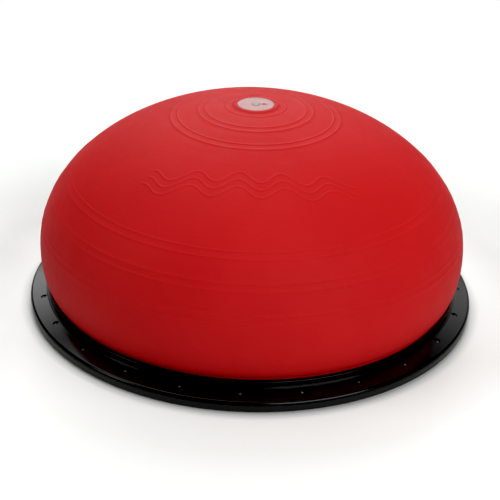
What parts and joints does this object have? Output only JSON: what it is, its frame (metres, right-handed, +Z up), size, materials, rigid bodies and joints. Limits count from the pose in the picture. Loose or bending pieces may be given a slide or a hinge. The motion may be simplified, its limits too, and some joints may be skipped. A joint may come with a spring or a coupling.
{
  "type": "balance dome trainer",
  "caption": "Air-filled rubber balance dome clamped in a glossy two-part screwed ring, with a pull-out inflation plug in the crown and rubber feet under the ring.",
  "frame": {"origin": "centre of the circle of feet, on the floor plane, below the dome's crown", "axes": "+Z up along the dome's axis of revolution; -Y points to the side that shows one ring screw in the middle; +X to the right seen from -Y"},
  "size_m": [0.5199, 0.52, 0.2397],
  "materials": {
    "dome_rubber": "satin",
    "membrane_rubber": "satin",
    "seal_rubber": "matte",
    "ring_plastic": "gloss",
    "lower_ring_plastic": "satin",
    "screw_steel": "blackened",
    "insert_brass": "turned",
    "foot_rubber": "matte",
    "valve_plastic": "translucent satin",
    "washer_plastic": "matte",
    "plug_plastic": "satin"
  },
  "bodies": {
    "base": {"upper_ring": "ring_plastic", "lower_ring": "lower_ring_plastic", "dome_skin": "dome_rubber", "base_membrane": "membrane_rubber", "bead_seal": "seal_rubber", "rim_screws": "screw_steel", "threaded_inserts": "insert_brass", "foot_01": "foot_rubber", "foot_02": "foot_rubber", "foot_03": "foot_rubber", "foot_04": "foot_rubber", "foot_05": "foot_rubber", "foot_06": "foot_rubber", "foot_07": "foot_rubber", "foot_08": "foot_rubber", "foot_09": "foot_rubber", "foot_10": "foot_rubber", "foot_11": "foot_rubber", "foot_12": "foot_rubber"},
    "crown": {"valve_body": "valve_plastic", "valve_washer": "washer_plastic", "valve_nut": "washer_plastic"},
    "plug": {"valve_plug": "plug_plastic", "plug_seal": "seal_rubber"}
  },
  "joints": [
    {"name": "crown_press", "type": "slide", "parent": "base", "child": "crown", "axis": [0, 0, 1], "range_m": [-0.06, 0], "stiffness_N_per_m": 9000, "deforming": ["dome_skin"]},
    {"name": "plug_pull", "type": "slide", "parent": "crown", "child": "plug", "axis": [0, 0, 1], "range_m": [0, 0.026]}
  ]
}
